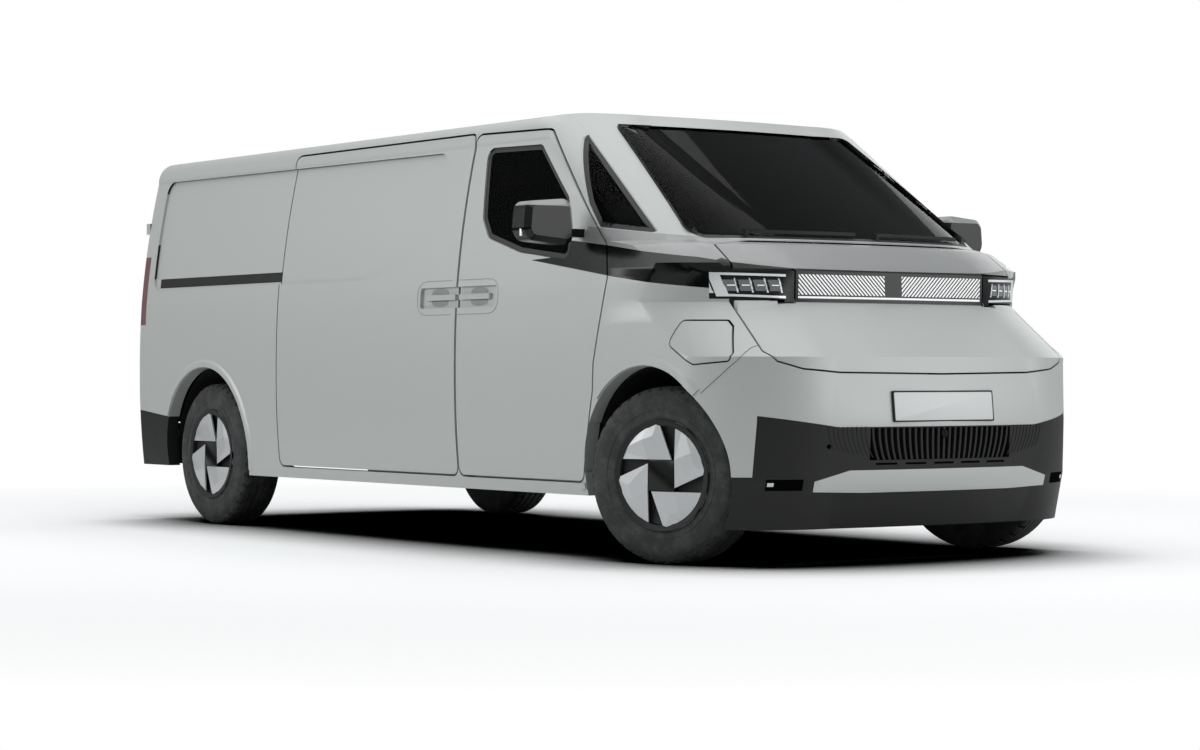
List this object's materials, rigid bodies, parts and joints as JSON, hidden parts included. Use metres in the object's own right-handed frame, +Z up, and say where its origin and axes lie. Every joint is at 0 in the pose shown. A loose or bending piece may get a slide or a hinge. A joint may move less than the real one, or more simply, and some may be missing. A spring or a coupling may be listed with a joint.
{
  "type": "panel van",
  "caption": "Low-roof electric panel van with two cab doors, a side door, two rear doors, a bonnet, a charge flap and steered front wheels.",
  "frame": {"origin": "on the ground below the middle of the body, half way along and across", "axes": "+X forward, +Y to the left side, +Z up"},
  "size_m": [5.0648, 2.5078, 1.88],
  "materials": {
    "body_paint": "pale grey gloss paint",
    "glass": "tinted glass",
    "lamp_lens": "clear lens over black",
    "tail_lens": "dark red lens",
    "black_plastic": "grained black moulding",
    "tyre": "rubber",
    "wheel_cover": "silver painted cover",
    "seat_fabric": "dark woven cloth",
    "chassis_steel": "black coated steel",
    "cast_housing": "cast alloy housing"
  },
  "bodies": {
    "body": {"battery_pack": "cast_housing", "bulkheads": "body_paint", "charge_socket": "black_plastic", "dashboard": "black_plastic", "drive_unit": "cast_housing", "fixed_glass": "glass", "floor": "body_paint", "front_bumper": "body_paint", "front_subframe": "chassis_steel", "headlamps": "lamp_lens", "lower_grille": "black_plastic", "rear_axle": "chassis_steel", "rear_bumper": "black_plastic", "roof": "body_paint", "seat_bases": "chassis_steel", "seat_cushions": "seat_fabric", "side_wall_left": "body_paint", "side_wall_right": "body_paint", "slide_rail": "black_plastic", "sliding_door": "body_paint", "steering_wheel": "black_plastic", "tail_lamps": "tail_lens", "wheel_housings": "black_plastic", "wipers": "black_plastic"},
    "knuckle_left": {"knuckle_left": "chassis_steel"},
    "knuckle_right": {"knuckle_right": "chassis_steel"},
    "wheel_front_left": {"tyre_front_left": "tyre", "wheel_front_left": "wheel_cover"},
    "wheel_front_right": {"tyre_front_right": "tyre", "wheel_front_right": "wheel_cover"},
    "wheel_rear_left": {"tyre_rear_left": "tyre", "wheel_rear_left": "wheel_cover"},
    "wheel_rear_right": {"tyre_rear_right": "tyre", "wheel_rear_right": "wheel_cover"},
    "front_door_left": {"front_door_glass_left": "glass", "front_door_left": "body_paint", "mirror_left": "black_plastic"},
    "front_door_right": {"front_door_glass_right": "glass", "front_door_right": "body_paint", "mirror_right": "black_plastic"},
    "rear_door_left": {"rear_door_left": "body_paint"},
    "rear_door_right": {"rear_door_right": "body_paint"},
    "bonnet": {"bonnet": "body_paint", "light_bar": "lamp_lens"},
    "charge_flap": {"charge_flap": "body_paint"}
  },
  "joints": [
    {"name": "steer_left", "type": "hinge", "parent": "body", "child": "knuckle_left", "pos_m": [1.8675, 0.8, 0.35], "axis": [0, 0, 1], "range_deg": [-54, 16]},
    {"name": "steer_right", "type": "hinge", "parent": "body", "child": "knuckle_right", "pos_m": [1.8675, -0.8, 0.35], "axis": [0, 0, 1], "range_deg": [-54, 16]},
    {"name": "spin_front_left", "type": "hinge", "parent": "knuckle_left", "child": "wheel_front_left", "pos_m": [1.8675, 0.8, 0.35], "axis": [-0.3256, 0.9455, 0], "continuous": true},
    {"name": "spin_rear_left", "type": "hinge", "parent": "body", "child": "wheel_rear_left", "pos_m": [-1.7825, 0.832, 0.35], "axis": [0, 1, 0], "continuous": true},
    {"name": "spin_front_right", "type": "hinge", "parent": "knuckle_right", "child": "wheel_front_right", "pos_m": [1.8675, -0.8, 0.35], "axis": [-0.3256, 0.9455, 0], "continuous": true},
    {"name": "spin_rear_right", "type": "hinge", "parent": "body", "child": "wheel_rear_right", "pos_m": [-1.7825, -0.832, 0.35], "axis": [0, 1, 0], "continuous": true},
    {"name": "open_front_door_right", "type": "hinge", "parent": "body", "child": "front_door_right", "pos_m": [1.6, -0.984, 1.1], "axis": [0, 0, 1], "range_deg": [0, 68]},
    {"name": "open_front_door_left", "type": "hinge", "parent": "body", "child": "front_door_left", "pos_m": [1.6, 0.984, 1.1], "axis": [0, 0, -1], "range_deg": [0, 68]},
    {"name": "open_rear_door_left", "type": "hinge", "parent": "body", "child": "rear_door_left", "pos_m": [-2.5235, 0.911, 1.1], "axis": [0, 0, -1], "range_deg": [0, 178]},
    {"name": "open_rear_door_right", "type": "hinge", "parent": "body", "child": "rear_door_right", "pos_m": [-2.5235, -0.911, 1.1], "axis": [0, 0, 1], "range_deg": [0, 178]},
    {"name": "open_bonnet", "type": "hinge", "parent": "body", "child": "bonnet", "pos_m": [1.99735, 0, 1.27088], "axis": [0, -1, 0], "range_deg": [0, 45]},
    {"name": "open_charge_flap", "type": "hinge", "parent": "body", "child": "charge_flap", "pos_m": [2.24984, -0.845, 0.87984], "axis": [-0.5527, 0.4389, 0.7085], "range_deg": [0, 90]}
  ],
  "couplings": [
    {"joint": "steer_left", "follows": "steer_right", "ratio": 1}
  ]
}
